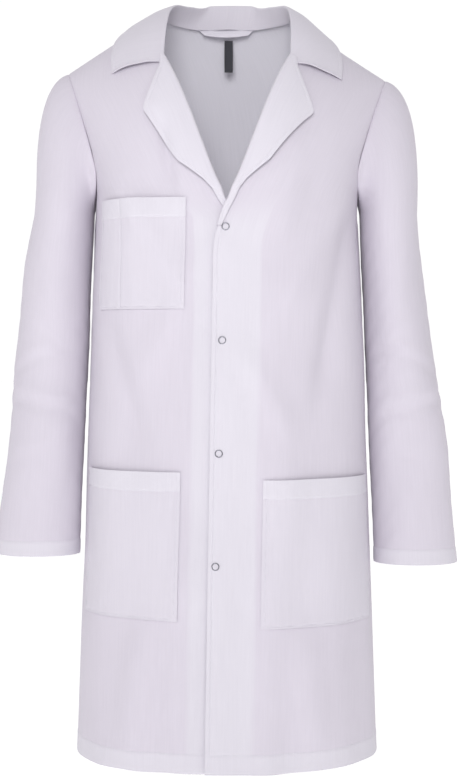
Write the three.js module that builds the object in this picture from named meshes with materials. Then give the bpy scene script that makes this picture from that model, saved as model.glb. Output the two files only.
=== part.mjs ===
// Lab coat in its worn shape: white twill, notched lapels, ring snaps, three patch pockets.
// Millimetres, +Z up. The front faces -Y and the wearer's left is +X. The hem lies in Z = 0.
import * as THREE from 'three';

// ---- driving dimensions ------------------------------------------------------------------
const hemHalfWidth = 210;
const chestHalfWidth = 182;
const chestLevel = 770;            // armpit height above the hem
const frontHemDepth = 146;
const frontChestDepth = 138;
const backHemDepth = 142;
const backChestDepth = 130;
const squareness = 2.4;            // power of the body's superellipse section
const neckTop = chestLevel + 286;  // where the two shoulder slopes would meet
const shoulderSlope = 0.68;
const shoulderRounding = 60;
const shoulderHalfWidth = chestHalfWidth + 50;
const armholeShare = 0.95;         // armhole seam's share of the half width
const underarmSpan = 0.15;

const clothThickness = 1.6;
const clearance = 0.4;
const layerGap = 1.2;              // between two layers of cloth that lie on each other
const hingeClearance = 4.5;        // free edge beside a swinging panel

const edgeShiftTop = -17;          // closing edge beside the centre, at the break of the lapels
const edgeShiftHem = -29;
const overlapWidth = 38;
const facingWidth = 62;
const closureGap = 4;              // room for the snaps between the two fronts
const breakLevel = chestLevel - 15;
const sideShare = 0.985;           // where the swinging front meets the fixed side

const collarStand = 33;
const collarLie = 8;
const lapelLie = 6;

const sleeveGap = 4;               // between the body's side and the sleeve at the armpit
const cuffGap = 6.5;
const sleeveTopLevel = chestLevel - 25;
const sleeveTopHalfWidth = 40;
const sleeveTopHalfDepth = 66;
const sleeveTopCentre = chestHalfWidth + sleeveGap + sleeveTopHalfWidth;
const cuffLevel = sleeveTopLevel - 483;
const cuffForward = 14;
const cuffHalfWidth = 52;
const cuffHalfDepth = 41;
const sleeveHeadShare = 0.48;      // share of the cap that stays fixed to the armhole
const sleeveTuck = 9;              // how far a moving sleeve end nests inside its neighbour
const elbowLevel = sleeveTopLevel - 225;

const chestPocketWidthShares = [0.29, 0.905];
const chestPocketTop = chestLevel - 12;
const chestPocketBottom = chestPocketTop - 146;
const pocketOuterShare = 0.955;
const pocketInset = 54;            // from the snap line to a lower pocket
const pocketTop = 398;
const pocketBottom = 202;
const pocketGape = 11;

const snapCount = 4;
const snapTop = breakLevel - 36;
const snapPitch = 148;
const snapRadius = 5.6;
const snapEdgeTop = 16;            // snap centre to closing edge, first snap
const snapEdgeLast = 10;
const snapPlate = 1.1;

const stripThickness = 1.2;
const loopWidth = 84;
const loopHeight = 10;
const labelWidth = 12;
const labelLength = 45;

// ---- small tools -------------------------------------------------------------------------
const { lerp, clamp, smoothstep } = THREE.MathUtils;
const halfTurn = Math.PI;
const quarterTurn = Math.PI / 2;

const cloth = (colour) => new THREE.MeshStandardMaterial({ color: colour, roughness: 0.9, metalness: 0 });
const metal = () => new THREE.MeshStandardMaterial({ color: 0xb9bcc2, roughness: 0.3, metalness: 1 });
const white = 0xe8e4ee;
const darkGrey = 0x33343a;

const coat = new THREE.Group();

function add(name, geometry, material) {
  const mesh = new THREE.Mesh(geometry, material);
  mesh.name = name;
  coat.add(mesh);
  return mesh;
}

// value of a broken line given as [place, value] pairs in rising order of place
function along(line, place) {
  let last = line.findIndex(([there]) => there >= place);
  if (last < 0) last = line.length - 1;
  if (last === 0) last = 1;
  const [from, a] = line[last - 1];
  const [to, b] = line[last];
  return lerp(a, b, clamp((place - from) / (to - from), 0, 1));
}

// One closed sheet of cloth. at(u, v) is its middle surface for u, v from 0 to 1; with ring
// true it closes on itself in u, as a sleeve does. An edge in the plane Z = 0 is cut level.
function sheet(at, columns, rows, thickness, ring = false) {
  const step = 1e-3;
  const level = 1e-6;
  const across = ring ? columns : columns + 1;
  const corners = [];
  for (const side of [1, -1]) {
    for (let j = 0; j <= rows; j += 1) {
      for (let i = 0; i < across; i += 1) {
        const u = i / columns;
        const v = j / rows;
        const lowU = ring ? u - step : Math.max(u - step, 0);
        const highU = ring ? u + step : Math.min(u + step, 1);
        const alongU = at(highU, v).sub(at(lowU, v));
        const alongV = at(u, Math.min(v + step, 1)).sub(at(u, Math.max(v - step, 0)));
        const normal = alongU.cross(alongV);
        const middle = at(u, v);
        if (Math.abs(middle.z) < level) normal.z = 0;
        corners.push(middle.addScaledVector(normal.normalize(), side * thickness / 2));
      }
    }
  }
  const layer = across * (rows + 1);
  const id = (side, i, j) => side * layer + j * across + (ring ? i % columns : i);
  const triangles = [];
  const quad = (a, b, c, d) => triangles.push(a, b, c, a, c, d);
  for (let j = 0; j < rows; j += 1) {
    for (let i = 0; i < columns; i += 1) {
      quad(id(0, i, j), id(0, i + 1, j), id(0, i + 1, j + 1), id(0, i, j + 1));
      quad(id(1, i, j), id(1, i, j + 1), id(1, i + 1, j + 1), id(1, i + 1, j));
    }
  }
  for (let i = 0; i < columns; i += 1) {
    quad(id(0, i, 0), id(1, i, 0), id(1, i + 1, 0), id(0, i + 1, 0));
    quad(id(0, i, rows), id(0, i + 1, rows), id(1, i + 1, rows), id(1, i, rows));
  }
  for (let j = 0; j < rows && !ring; j += 1) {
    quad(id(0, 0, j), id(0, 0, j + 1), id(1, 0, j + 1), id(1, 0, j));
    quad(id(0, columns, j), id(1, columns, j), id(1, columns, j + 1), id(0, columns, j + 1));
  }
  return closedGeometry(corners, triangles);
}

// corners and triangles as a geometry whose faces point outward
function closedGeometry(corners, triangles) {
  let volume = 0;
  for (let k = 0; k < triangles.length; k += 3) {
    const [a, b, c] = [0, 1, 2].map((n) => corners[triangles[k + n]]);
    volume += a.dot(b.clone().cross(c));
  }
  const index = volume > 0 ? triangles : [...triangles].reverse();
  const geometry = new THREE.BufferGeometry().setFromPoints(corners);
  geometry.setIndex(index);
  geometry.computeVertexNormals();
  return geometry;
}

// ---- the body's surface ------------------------------------------------------------------
// A place on the body is a share s of the half width and a height w: 0 at the hem, 1 at the
// armpits, 2 along the top of the shoulders. face is -1 on the front and 1 on the back.
const shoulderHeight = (x) =>
  neckTop - shoulderSlope * (Math.hypot(x, shoulderRounding) - shoulderRounding);

function bodyHalfWidth(w) {
  if (w <= 1) return lerp(hemHalfWidth, chestHalfWidth, w);
  return lerp(chestHalfWidth, shoulderHalfWidth, Math.sin((w - 1) * quarterTurn) ** 1.3);
}

function body(s, w, face, lift = 0) {
  const rise = Math.max(w - 1, 0) * quarterTurn;
  const hemDepth = face < 0 ? frontHemDepth : backHemDepth;
  const chestDepth = face < 0 ? frontChestDepth : backChestDepth;
  const fall = face < 0 ? 1.25 : 0.95;
  const depth = lerp(hemDepth, chestDepth, Math.min(w, 1)) * Math.cos(rise) ** fall;
  const level = Math.min(w, 1) * chestLevel;
  const top = shoulderHeight(s * shoulderHalfWidth) - chestLevel;
  const roundness = (1 - Math.min(Math.abs(s), 1) ** squareness) ** (1 / squareness);
  const point = new THREE.Vector3(
    s * bodyHalfWidth(w),
    face * depth * roundness,
    level + Math.max(top, 0) * Math.sin(rise),
  );
  return lift === 0 ? point : point.addScaledVector(bodyNormal(s, w, face), lift);
}

function bodyNormal(s, w, face) {
  const step = 2e-3;
  const near = clamp(s, -1 + 2 * step, 1 - 2 * step);
  const high = clamp(w, step, 2 - step);
  const alongS = body(near + step, high, face).sub(body(near - step, high, face));
  const alongW = body(near, high + step, face).sub(body(near, high - step, face));
  return alongS.cross(alongW).normalize().multiplyScalar(-face);
}

// evenly spread shares between two shares, closer together round the side
function spread(from, to, u) {
  const angle = (s) => Math.sign(s) * Math.asin(Math.min(Math.abs(s), 1) ** (squareness / 2));
  const there = lerp(angle(from), angle(to), u);
  return Math.sign(there) * Math.abs(Math.sin(there)) ** (2 / squareness);
}

// height w of a level z on the front below the armpits
const heightOf = (z) => z / chestLevel;

// ---- seam and edge lines on the body -----------------------------------------------------
const notch = { s: 0.435, w: 1.47 };
const neckAtShoulder = 0.37;
const armhole = (w) => armholeShare
  + (1 - armholeShare) * Math.max(1 - (w - 1) / underarmSpan, 0) ** 2;
const cutLine = [[0, sideShare], [0.9, sideShare], [1, 0.94], [1.08, 0.875], [1.33, 0.68],
  [notch.w, 0.485]];
const breakHeight = heightOf(breakLevel);

// where a panel's outer seam runs: down the side, and round the armhole above it
const panelEdge = (w) => (w < 1 ? 1 - sideSeamShare : armhole(w) - sideSeamShare);

// the share s moved toward the centre by a distance over the front
function shortOf(s, w, distance) {
  const step = 1e-3;
  return s - distance * step / body(s, w, -1).distanceTo(body(s - step, w, -1));
}

const closingEdge = (w) => lerp(edgeShiftHem, edgeShiftTop, Math.min(w / breakHeight, 1));

function rollLine(w) {
  const rise = clamp((w - breakHeight) / (notch.w - breakHeight), 0, 1);
  return notch.s * rise ** 0.85;
}

const lapelLine = [
  [breakHeight, 0.03], [1.03, 0.15], [1.086, 0.3], [1.256, 0.55], [1.293, 0.565], [1.326, 0.54],
  [1.44, 0.452],
];

// half the gap along a seam as a share of the half width, at the side where the section turns
// away, and along the shoulder seam
const seamShare = 0.0025;
const sideSeamShare = 1e-6;
const shoulderTrim = 0.994;

// ---- back ---------------------------------------------------------------------------------
const backNeckShare = 0.37;
const backNeckHeight = (s) => lerp(1.7, 2, clamp(Math.abs(s) / backNeckShare, 0, 1) ** 2);

function backPanel(name, side) {
  const at = (u, v) => {
    const w = lerp(0, 2, v);
    const s = spread(seamShare, panelEdge(w), u);
    const trim = 1 - (2 - backNeckHeight(s)) * Math.max(w - 1, 0);
    const height = w <= 1 ? w : 1 + (w - 1) * trim * shoulderTrim;
    return body(side * s, height, 1);
  };
  add(name, sheet(at, 9, 18, clothThickness), cloth(white));
}

// ---- fronts -------------------------------------------------------------------------------
// how far a front stands off the body: the wearer's left front lies over the right one
const overlapStandOff = closureGap + 2 * clothThickness + layerGap;

function overlapLift(side, x) {
  if (side < 0) return 0;
  return overlapStandOff * (1 - smoothstep(x, 45, 110));
}

const innerShare = (side, w) => {
  const x = side > 0 ? closingEdge(w) : -(closingEdge(w) + overlapWidth);
  const edge = x / bodyHalfWidth(w);
  return w < breakHeight ? edge : Math.max(edge, rollLine(w));
};

function frontPoint(side, s, w, lift) {
  const x = s * bodyHalfWidth(w);
  return body(side * s, w, -1, lift + overlapLift(side, x));
}

function frontPanel(name, side) {
  const at = (u, v) => {
    const w = lerp(0, notch.w - 0.02, v);
    const outer = shortOf(along(cutLine, w), w, hingeClearance);
    return frontPoint(side, spread(innerShare(side, w), outer, u), w, 0);
  };
  add(name, sheet(at, 12, 20, clothThickness), cloth(white));
}

function sidePanel(name, side) {
  const at = (u, v) => {
    const w = lerp(0, 1 + shoulderTrim, v);
    const neck = lerp(notch.s, neckAtShoulder, clamp((w - notch.w) / (2 - notch.w), 0, 1));
    const inner = w < notch.w ? along(cutLine, w) : neck + 0.05;
    return body(side * spread(inner, panelEdge(w), u), w, -1);
  };
  add(name, sheet(at, 5, 24, clothThickness), cloth(white));
}

function lapel(name, side) {
  const start = breakHeight + 0.02;
  const at = (u, v) => {
    const w = lerp(start, notch.w - 0.05, v);
    const fold = rollLine(w) + 0.012;
    return frontPoint(side, spread(fold, along(lapelLine, w), u), w, lapelLie);
  };
  add(name, sheet(at, 4, 12, clothThickness), cloth(white));
}

function facing(name, side) {
  const at = (u, v) => {
    const w = lerp(0.004, notch.w - 0.12, v);
    const inner = innerShare(side, w) + 0.006;
    const width = facingWidth / bodyHalfWidth(w) * (1 - 0.4 * smoothstep(w, breakHeight, notch.w));
    return frontPoint(side, lerp(inner, inner + width, u), w, -(clothThickness + layerGap));
  };
  add(name, sheet(at, 4, 16, clothThickness), cloth(white));
}

// ---- patch pockets ------------------------------------------------------------------------
// sewn close to the front along its sides and bottom, open and standing off at the mouth
function pocket(name, side, innerShareAt, outerShare, bottom, top) {
  const seat = clothThickness + layerGap;
  const at = (u, v) => {
    const w = heightOf(lerp(bottom, top, v));
    const swell = Math.sin(halfTurn * u) ** 0.7 * Math.sin(quarterTurn * v) ** 0.8;
    return frontPoint(side, spread(innerShareAt(w), outerShare, u), w, seat + pocketGape * swell);
  };
  add(name, sheet(at, 8, 7, clothThickness), cloth(white));
}

// ---- snaps --------------------------------------------------------------------------------
const snapHeights = Array.from({ length: snapCount }, (_, k) => heightOf(snapTop - k * snapPitch));
const snapX = (w, k) => closingEdge(w) + lerp(snapEdgeTop, snapEdgeLast, k / (snapCount - 1));

// a turned plate whose profile is [radius, height] pairs, laid on the front at a given lift
function turned(name, profile, k, lift) {
  const w = snapHeights[k];
  const s = snapX(w, k) / bodyHalfWidth(w);
  const points = profile.map(([radius, height]) => new THREE.Vector2(radius, height));
  const geometry = new THREE.LatheGeometry(points, 14);
  const mesh = add(name, closedLathe(geometry), metal());
  const normal = bodyNormal(s, w, -1);
  mesh.quaternion.setFromUnitVectors(new THREE.Vector3(0, 1, 0), normal);
  mesh.position.copy(body(s, w, -1, lift));
}

// a lathe's doubled seam and axis points merged by place, so that the piece is one closed body
function closedLathe(geometry) {
  const place = geometry.getAttribute('position');
  const corners = [];
  const seen = new Map();
  const merged = Array.from({ length: place.count }, (_, i) => {
    const point = new THREE.Vector3().fromBufferAttribute(place, i);
    const key = point.toArray().map((n) => Math.round(n * 1e4)).join(' ');
    if (!seen.has(key)) seen.set(key, corners.push(point) - 1);
    return seen.get(key);
  });
  const old = geometry.getIndex().array;
  const triangles = [];
  for (let k = 0; k < old.length; k += 3) {
    const [a, b, c] = [merged[old[k]], merged[old[k + 1]], merged[old[k + 2]]];
    if (a !== b && b !== c && a !== c) triangles.push(a, b, c);
  }
  return closedGeometry(corners, triangles);
}

function ringProfile(inner, outer, height) {
  return [
    [inner, 0], [outer, 0], [outer, height * 0.6], [(inner + outer) / 2, height],
    [inner, height * 0.6], [inner, 0],
  ];
}

function snaps() {
  const seat = clothThickness / 2 + clearance;
  const overlying = overlapStandOff;
  const socketTop = overlying - 1.5 * clothThickness - layerGap - clearance;
  for (let k = 0; k < snapCount; k += 1) {
    const number = k + 1;
    turned(`snap_${number}_front_ring`, ringProfile(snapRadius * 0.6, snapRadius, snapPlate), k,
      overlying + seat);
    turned(`snap_${number}_socket`, ringProfile(snapRadius * 0.45, snapRadius, -snapPlate * 1.4),
      k, socketTop);
    turned(`snap_${number}_stud`, studProfile(), k, seat);
    turned(`snap_${number}_back_ring`, ringProfile(snapRadius * 0.6, snapRadius, -snapPlate), k,
      -(1.5 * clothThickness + layerGap + clearance));
  }
}

function studProfile() {
  const base = snapPlate * 0.7;
  return [[0, 0], [snapRadius, 0], [snapRadius, base], [2, base], [1.8, base * 2], [0, base * 2.2]];
}

// ---- collar -------------------------------------------------------------------------------
// Half curves from the centre back round to the notch, as [share, height, face] on the body.
const neckHalf = [
  [0, 1.7, 1], [0.2, 1.74, 1], [0.34, 1.87, 1], [0.385, 1.985, 1], [0.4, 1.86, -1],
  [0.42, 1.66, -1], [notch.s, notch.w + 0.02, -1],
];
const edgeHalf = [
  [0, 1.46, 1], [0.28, 1.5, 1], [0.5, 1.66, 1], [0.66, 1.985, 1], [0.735, 1.83, -1],
  [0.75, 1.64, -1], [0.665, 1.5, -1],
];
const standHeights = [[0, 1], [0.5, 0.8], [0.8, 0.3], [1, 0.12]];

function collarPlace(line, share) {
  const points = line.map(([s, w, face]) => body(s, w, face));
  return new THREE.CatmullRomCurve3(points, false, 'centripetal').getPoint(share);
}

// outward direction of the body near a point of the shoulders
function shoulderNormal(point) {
  const down = new THREE.Vector3(0, 5, chestLevel + 40);
  const away = point.clone().sub(down);
  away.x *= 0.35;
  return away.normalize();
}

const underCollarSide = -1;

function collarSurface(u, v) {
  const hand = u < 0.5 ? -1 : 1;
  const share = Math.abs(2 * u - 1);
  const neck = collarPlace(neckHalf, share);
  const edge = collarPlace(edgeHalf, share);
  const stand = collarStand * along(standHeights, share);
  const rising = v < 0.3;
  const across = rising ? 0 : (v - 0.3) / 0.7;
  const point = neck.clone().lerp(edge, across);
  const up = shoulderNormal(point);
  const belly = Math.sin(halfTurn * across) * 9;
  const height = rising ? stand * v / 0.3 : stand * (1 - across) ** 1.6 + belly;
  point.addScaledVector(up, height + collarLie);
  if (!rising) point.addScaledVector(neck.clone().sub(edge).normalize(), -3 * Math.min(across * 6, 1));
  point.x *= hand;
  return point;
}

// the same surface moved along its own normal
function beside(at, amount) {
  const step = 2e-3;
  return (u, v) => {
    const alongU = at(u + step, v).sub(at(u - step, v));
    const alongV = at(u, v + step).sub(at(u, v - step));
    return at(u, v).addScaledVector(alongU.cross(alongV).normalize(), amount);
  };
}

function collar() {
  add('upper_collar', sheet(collarSurface, 24, 8, clothThickness), cloth(white));
  const lining = beside(collarSurface, underCollarSide * (clothThickness + layerGap));
  const under = (u, v) => lining(lerp(0.02, 0.98, u), lerp(0.42, 0.97, v));
  add('under_collar', sheet(under, 24, 5, clothThickness), cloth(white));
}

// ---- hanger loop and neck label -----------------------------------------------------------
const loopSag = 3;
const loopBeside = -1;
const loopReach = 102;
const loopStandOffShare = 0.0125;  // a wider back is flatter behind the loop, which hangs clear of it
const loopLevel = neckTop - 38;
const loopStandOff = shoulderHalfWidth * loopStandOffShare
  * (shoulderHalfWidth / (backChestDepth + loopReach)) ** 2;
const loopPlace = new THREE.Vector3(loopBeside, backDepthAt(loopWidth / 2, loopLevel) - loopStandOff,
  loopLevel);
const labelPlace = new THREE.Vector3(2.5, 70, neckTop - 53);

// how far behind the centre the back lies, at a distance beside it and a level near the neck
function backDepthAt(x, z) {
  const w = 1 + Math.asin((z - chestLevel) / (shoulderHeight(x) - chestLevel)) / quarterTurn;
  return body(x / bodyHalfWidth(w), w, 1).y;
}

// a flat strip that hangs from its top edge in the plane Y = place.y
function strip(name, place, width, length, sag, material) {
  const at = (u, v) => new THREE.Vector3(
    place.x + width * (u - 0.5) * (1 - 0.25 * v * Math.sign(sag)),
    place.y,
    place.z - sag * Math.sin(halfTurn * u) - length * v,
  );
  add(name, sheet(at, 10, 3, stripThickness), material);
}

// ---- sleeves ------------------------------------------------------------------------------
// turn runs round the sleeve: 0 outside, a quarter at the front, a half at the underarm
function armholePoint(turn) {
  const angle = turn * 2 * halfTurn;
  const front = angle <= halfTurn;
  const share = front ? angle / halfTurn : (2 * halfTurn - angle) / halfTurn;
  const w = 2 - share;
  return body(armhole(w), clamp(w, 1, 2), front ? -1 : 1);
}

// the sleeve hangs beside the body's side, so the cuff's place follows the body there
const cuffCentre = bodyHalfWidth(heightOf(cuffLevel)) + cuffGap + cuffHalfWidth;

function sleeveRing(turn, level) {
  const share = (sleeveTopLevel - level) / (sleeveTopLevel - cuffLevel);
  const angle = turn * 2 * halfTurn;
  return new THREE.Vector3(
    lerp(sleeveTopCentre, cuffCentre, share)
      + lerp(sleeveTopHalfWidth, cuffHalfWidth, share) * Math.cos(angle),
    -cuffForward * share - lerp(sleeveTopHalfDepth, cuffHalfDepth, share) * Math.sin(angle),
    level,
  );
}

const seamGap = 2.4;               // between the armhole's edge and the sleeve head
const capReach = 62;
const capDrop = 48;

function capPoint(turn, share) {
  const seam = armholePoint(turn);
  const ring = sleeveRing(turn, sleeveTopLevel);
  const out = (1 + Math.cos(turn * 2 * halfTurn)) / 2;
  const side = Math.sin(turn * 2 * halfTurn);
  seam.x += seamGap;
  const leave = new THREE.Vector3(0.25 + 0.7 * out, -0.45 * side, -0.25 - 0.5 * (1 - out));
  const reach = capReach * (0.15 + 0.85 * out);
  const first = seam.clone().addScaledVector(leave.normalize(), reach);
  const second = ring.clone().add(new THREE.Vector3(0, 0, capDrop * (0.15 + 0.85 * out) * 1.4));
  return new THREE.CubicBezierCurve3(seam, first, second, ring).getPoint(share);
}

// pulls a point of a sleeve's wall toward the sleeve's middle line
function tucked(point, turn, amount) {
  const angle = turn * 2 * halfTurn;
  point.x -= amount * Math.cos(angle);
  point.y += amount * Math.sin(angle);
  return point;
}

const elbowSlant = 58;

function sleeve(word, side) {
  const mirror = (point) => {
    point.x *= side;
    return point;
  };
  const head = (u, v) => mirror(capPoint(u, sleeveHeadShare * v));
  add(`${word}_sleeve_head`, sheet(head, 24, 4, clothThickness, true), cloth(white));

  const capRows = 0.25;
  const upper = (u, v) => {
    const elbow = elbowLevel + elbowSlant * Math.sin(u * 2 * halfTurn);
    if (v < capRows) {
      const share = lerp(sleeveHeadShare + 0.02, 1, v / capRows);
      return mirror(tucked(capPoint(u, share), u, sleeveTuck * (1 - v / capRows)));
    }
    return mirror(sleeveRing(u, lerp(sleeveTopLevel, elbow, (v - capRows) / (1 - capRows))));
  };
  add(`${word}_upper_sleeve`, sheet(upper, 24, 8, clothThickness, true), cloth(white));

  const forearm = (u, v) => {
    const elbow = elbowLevel + elbowSlant * Math.sin(u * 2 * halfTurn) - hingeClearance;
    const point = sleeveRing(u, lerp(elbow, cuffLevel, v));
    return mirror(tucked(point, u, sleeveTuck * Math.max(1 - 5 * v, 0)));
  };
  add(`${word}_forearm_sleeve`, sheet(forearm, 24, 10, clothThickness, true), cloth(white));
}

// ---- assembly -----------------------------------------------------------------------------
backPanel('back_left', 1);
backPanel('back_right', -1);
sidePanel('left_front_side', 1);
sidePanel('right_front_side', -1);
frontPanel('left_front_panel', 1);
frontPanel('right_front_panel', -1);
lapel('left_lapel', 1);
lapel('right_lapel', -1);
facing('left_facing', 1);
facing('right_facing', -1);
const leftPocketInner = (w) => (closingEdge(w) + snapEdgeTop + pocketInset) / bodyHalfWidth(w);
const rightPocketInner = (w) => (pocketInset - closingEdge(w) - snapEdgeTop) / bodyHalfWidth(w);
pocket('left_pocket', 1, leftPocketInner, pocketOuterShare, pocketBottom, pocketTop);
pocket('right_pocket', -1, rightPocketInner, pocketOuterShare, pocketBottom, pocketTop);
pocket('chest_pocket', -1, () => chestPocketWidthShares[0], chestPocketWidthShares[1],
  chestPocketBottom, chestPocketTop);
snaps();
collar();
strip('hanger_loop', loopPlace, loopWidth, loopHeight, loopSag, cloth(white));
strip('neck_label', labelPlace, labelWidth, labelLength, 0, cloth(darkGrey));
sleeve('left', 1);
sleeve('right', -1);

export default coat;
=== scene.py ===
import math

import bpy
import numpy as np
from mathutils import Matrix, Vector


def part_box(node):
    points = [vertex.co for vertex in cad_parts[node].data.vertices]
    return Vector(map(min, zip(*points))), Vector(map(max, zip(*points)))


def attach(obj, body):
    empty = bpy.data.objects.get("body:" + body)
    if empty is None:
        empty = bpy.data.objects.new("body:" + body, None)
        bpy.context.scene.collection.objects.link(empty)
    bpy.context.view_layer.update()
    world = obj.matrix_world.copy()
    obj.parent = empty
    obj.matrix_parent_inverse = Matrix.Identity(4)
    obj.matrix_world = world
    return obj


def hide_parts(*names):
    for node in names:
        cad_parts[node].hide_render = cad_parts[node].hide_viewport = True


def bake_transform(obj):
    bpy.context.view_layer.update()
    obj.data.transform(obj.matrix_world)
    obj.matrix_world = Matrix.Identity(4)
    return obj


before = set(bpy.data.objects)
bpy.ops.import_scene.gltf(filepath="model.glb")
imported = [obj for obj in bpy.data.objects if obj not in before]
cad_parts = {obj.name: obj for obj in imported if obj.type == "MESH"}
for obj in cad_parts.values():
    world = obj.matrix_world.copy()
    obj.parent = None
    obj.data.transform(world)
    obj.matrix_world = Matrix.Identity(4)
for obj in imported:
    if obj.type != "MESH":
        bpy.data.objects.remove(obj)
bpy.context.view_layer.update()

# ---- the coat's body, in metres, the same surface as the CAD model's --------------------------
HEM_HALF = 0.210
CHEST_HALF = 0.182
CHEST_LEVEL = 0.770
FRONT_DEPTHS = (0.146, 0.138)      # at the hem and at the chest
BACK_DEPTHS = (0.142, 0.130)
SQUARENESS = 2.4
NECK_TOP = 1.056
SHOULDER_SLOPE = 0.68
SHOULDER_ROUNDING = 0.060
SHOULDER_HALF = 0.232
ARMHOLE_SHARE = 0.95
UNDERARM_SPAN = 0.15
NOTCH = (0.400, 1.50)              # where the collar's fold runs into the lapel's roll line
NECK_AT_SHOULDER = 0.37

CLOTH = 0.0012                     # thickness of one layer
FACING_LIE = -0.0016
OVERLAP_LIE = 0.0050               # the left front over the right one
OVERLAP_FADE = (0.045, 0.110)
HEM_BAND = 0.026
FACING_WIDTH = 0.062
ROLL = 0.0030                      # radius of a folded edge

SHOULDER_DROP = 0.010              # the wearer's left shoulder hangs this much lower
FRONT, BACK = -1, 1
SIDES = (("left", 1), ("right", -1))


def smooth(x, low, high):
    t = np.clip((np.asarray(x, float) - low) / (high - low), 0, 1)
    return t * t * (3 - 2 * t)


def lerp(a, b, t):
    return a + (b - a) * t


def shoulder_height(x):
    return NECK_TOP - SHOULDER_SLOPE * (np.hypot(x, SHOULDER_ROUNDING) - SHOULDER_ROUNDING)


def half_width(w):
    """Half the body's width at the height w."""
    rise = np.sin(np.clip(w - 1, 0, 1) * math.pi / 2)
    return lerp(HEM_HALF, CHEST_HALF, np.minimum(w, 1)) + (SHOULDER_HALF - CHEST_HALF) * rise ** 1.3


def plain_body(s, w, face):
    """The body's surface without folds. s is the share of the half width, w the height: 0 at the
    hem, 1 at the armpits and 2 along the top of the shoulders."""
    hem, chest = FRONT_DEPTHS if face == FRONT else BACK_DEPTHS
    fall = 1.25 if face == FRONT else 0.95
    rise = np.clip(w - 1, 0, 1) * math.pi / 2
    depth = lerp(hem, chest, np.minimum(w, 1)) * np.maximum(np.cos(rise), 0) ** fall
    top = np.maximum(shoulder_height(s * SHOULDER_HALF) - CHEST_LEVEL, 0)
    round_ = (1 - np.minimum(np.abs(s), 1) ** SQUARENESS) ** (1 / SQUARENESS)
    z = np.minimum(w, 1) * CHEST_LEVEL + top * np.sin(rise)
    return np.stack([s * half_width(w), face * depth * round_, z], -1)


def body_normal(s, w, face):
    """The body's outward direction."""
    step = 2e-3
    near = np.clip(s, -1 + 2 * step, 1 - 2 * step)
    high = np.clip(w, step, 2 - step)
    along_s = plain_body(near + step, high, face) - plain_body(near - step, high, face)
    along_w = plain_body(near, high + step, face) - plain_body(near, high - step, face)
    return unit(np.cross(along_s, along_w)) * -face


def unit(v):
    return v / np.maximum(np.linalg.norm(v, axis=-1, keepdims=True), 1e-12)


def paired(s, w):
    return np.broadcast_arrays(np.asarray(s, float), np.asarray(w, float))


def body(s, w, face, lift=0.0):
    """A point on the folded body, lifted off it."""
    s, w = paired(s, w)
    p = plain_body(s, w, face)
    return p + body_normal(s, w, face) * np.asarray(lift + folds(p, face))[..., None]


# ---- folds -----------------------------------------------------------------------------------
def waves(x, z, seed, count, across, tilt, power=1.0):
    """A sum of slanted sine waves: wavelengths across x from across[0] to across[1]."""
    draw = np.random.default_rng(seed)
    total = 0.0
    for _ in range(count):
        length = lerp(across[0], across[1], draw.random())
        lean = lerp(-tilt, tilt, draw.random())
        phase = draw.random() * 2 * math.pi
        slow = draw.random() * 2 * math.pi
        fade = 0.5 + 0.5 * np.sin(z * lerp(4, 11, draw.random()) + slow)
        total = total + fade * (length / across[1]) ** power * np.sin(
            2 * math.pi * (x + lean * z) / length + phase)
    return total / math.sqrt(count)


# creases of the front and back: start x, z, end x, z, half breadth, height; all in metres
FRONT_CREASES = (
    (-0.085, 0.860, -0.072, 0.770, 0.010, -0.0022),
    (-0.150, 0.800, -0.060, 0.640, 0.020, 0.0026),
    (0.165, 0.780, 0.060, 0.600, 0.020, 0.0028),
    (0.172, 0.740, 0.120, 0.480, 0.016, -0.0030),
    (0.110, 0.860, 0.060, 0.700, 0.022, 0.0020),
    (-0.160, 0.600, -0.120, 0.430, 0.016, -0.0024),
    (0.020, 0.560, 0.085, 0.440, 0.018, 0.0018),
    (-0.020, 0.700, -0.110, 0.520, 0.022, 0.0020),
    (0.100, 0.190, 0.120, 0.020, 0.022, 0.0034),
    (-0.110, 0.190, -0.130, 0.020, 0.022, 0.0034),
    (0.020, 0.250, 0.040, 0.020, 0.024, -0.0022),
    (-0.060, 0.300, -0.070, 0.030, 0.020, 0.0024),
)
BACK_CREASES = (
    (-0.120, 0.900, -0.060, 0.700, 0.022, 0.0030),
    (0.120, 0.900, 0.060, 0.700, 0.022, 0.0030),
    (-0.150, 0.760, -0.080, 0.560, 0.022, -0.0030),
    (0.150, 0.760, 0.080, 0.560, 0.022, -0.0030),
    (-0.090, 0.420, -0.110, 0.020, 0.026, 0.0046),
    (0.085, 0.450, 0.120, 0.020, 0.026, 0.0046),
    (0.020, 0.380, 0.030, 0.020, 0.026, -0.0036),
    (-0.045, 0.360, -0.040, 0.020, 0.022, 0.0036),
    (-0.150, 0.340, -0.165, 0.020, 0.020, 0.0040),
    (0.150, 0.340, 0.165, 0.020, 0.020, 0.0040),
)


CREASE_DEPTH = 2.6                  # the creases' heights are multiplied by this


def creases(x, z, lines):
    """Each crease is a ridge or a valley along a line, fading past its ends."""
    total = 0.0
    for x0, z0, x1, z1, breadth, height in lines:
        length = math.hypot(x1 - x0, z1 - z0)
        ax, az = (x1 - x0) / length, (z1 - z0) / length
        along = ((x - x0) * ax + (z - z0) * az) / length
        off = (x - x0) * az - (z - z0) * ax
        ends = smooth(along, -0.25, 0.25) * (1 - smooth(along, 0.7, 1.2))
        total = total + CREASE_DEPTH * height * ends * np.exp(-(off / breadth) ** 2)
    return total


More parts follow.
